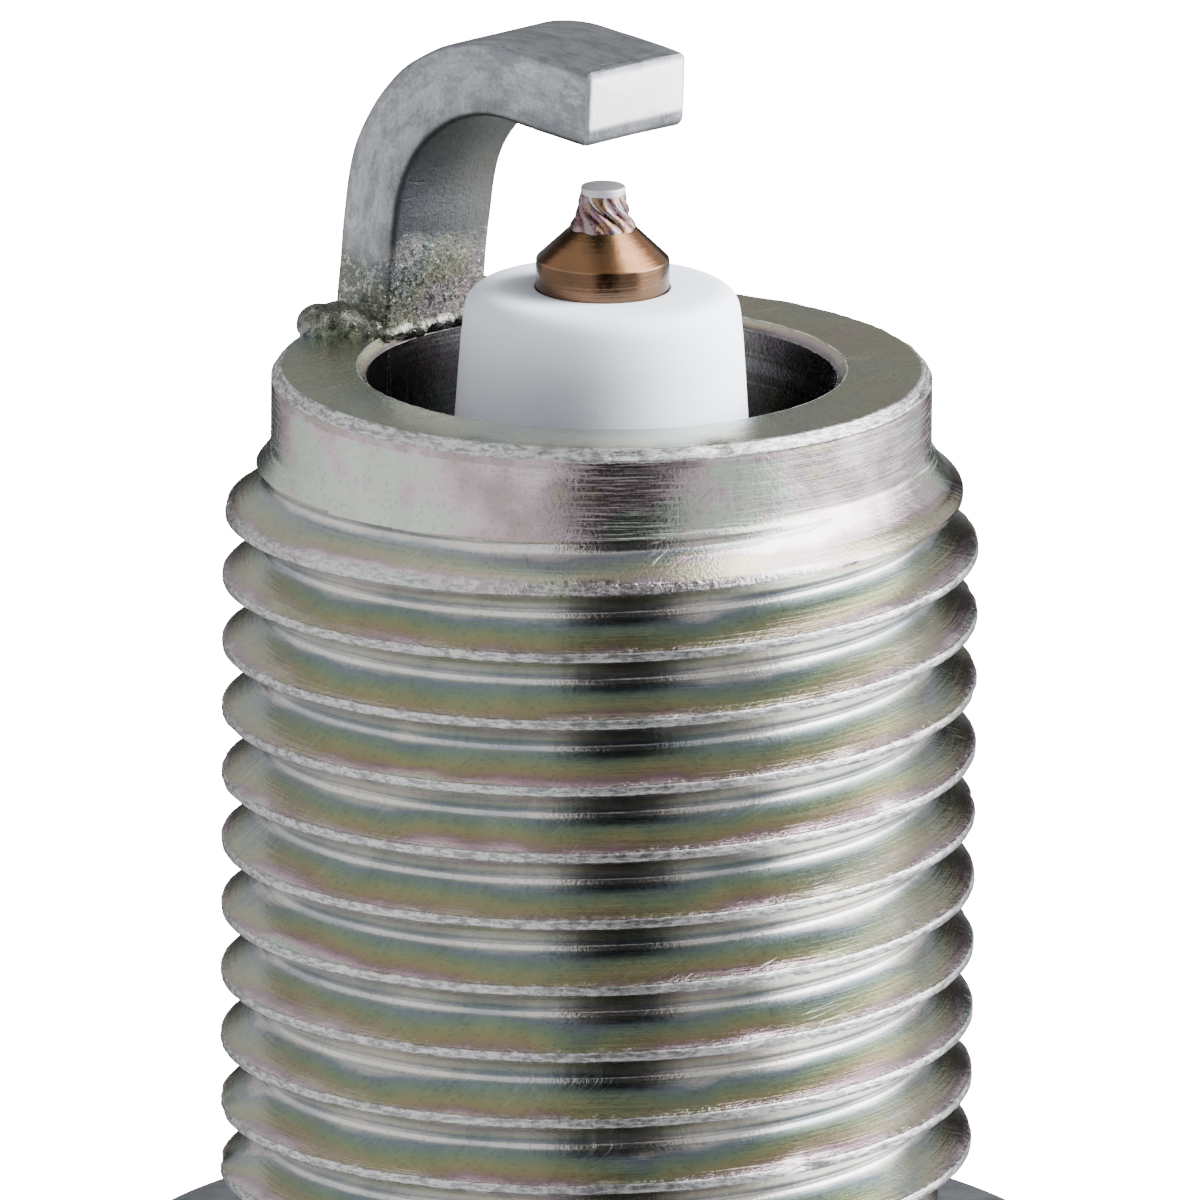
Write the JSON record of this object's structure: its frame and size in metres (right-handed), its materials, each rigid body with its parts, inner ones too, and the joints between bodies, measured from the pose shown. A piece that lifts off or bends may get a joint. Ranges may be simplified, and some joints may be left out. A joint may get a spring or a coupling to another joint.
{
  "type": "spark plug",
  "caption": "Spark plug: threaded steel shell with a bent ground strap over a fine-wire centre electrode, a ribbed ceramic insulator, a folded gasket and a barrel terminal.",
  "frame": {"origin": "centre of the gasket's sealing face, on the plug's axis", "axes": "+Z along the axis towards the firing end; the ground strap's foot is on the -X side and its free end points to +X"},
  "size_m": [0.0188, 0.0188, 0.0756],
  "materials": {
    "plated_shell": "satin zinc plating with a pale iridescent film",
    "strap_alloy": "matte bead-blasted nickel alloy",
    "weld_flash": "rough resistance-weld flash",
    "gasket_steel": "dark plated sheet steel",
    "alumina": "white alumina, glazed at the rear",
    "rod_alloy": "turned nickel alloy with a warm tint",
    "copper": "bright copper",
    "laser_weld": "heat-tinted melt",
    "iridium": "fine drawn wire",
    "seal_glass": "dark fused glass and metal powder",
    "resistor_mix": "dark carbon and glass mix",
    "terminal_steel": "bright nickel plating",
    "packing_steel": "plain steel wire and sheet",
    "talc": "pressed powder"
  },
  "bodies": {
    "plug": {"metal_shell": "plated_shell", "ground_electrode": "strap_alloy", "ground_weld": "weld_flash", "insulator": "alumina", "centre_electrode": "rod_alloy", "copper_core": "copper", "tip_weld": "laser_weld", "iridium_tip": "iridium", "lower_glass_seal": "seal_glass", "resistor": "resistor_mix", "upper_glass_seal": "seal_glass", "terminal_stud": "terminal_steel", "front_packing_washer": "packing_steel", "lower_ring_packing": "packing_steel", "talc_powder": "talc", "upper_ring_packing": "packing_steel"},
    "gasket": {"gasket": "gasket_steel"},
    "terminal_nut": {"terminal_nut": "terminal_steel"}
  },
  "joints": [
    {"name": "gasket_float", "type": "slide", "parent": "plug", "child": "gasket", "axis": [0, 0, 1], "range_m": [0, 0.001]},
    {"name": "nut_removal", "type": "slide", "parent": "plug", "child": "terminal_nut", "axis": [0, 0, -1], "range_m": [0, 0.009]}
  ]
}
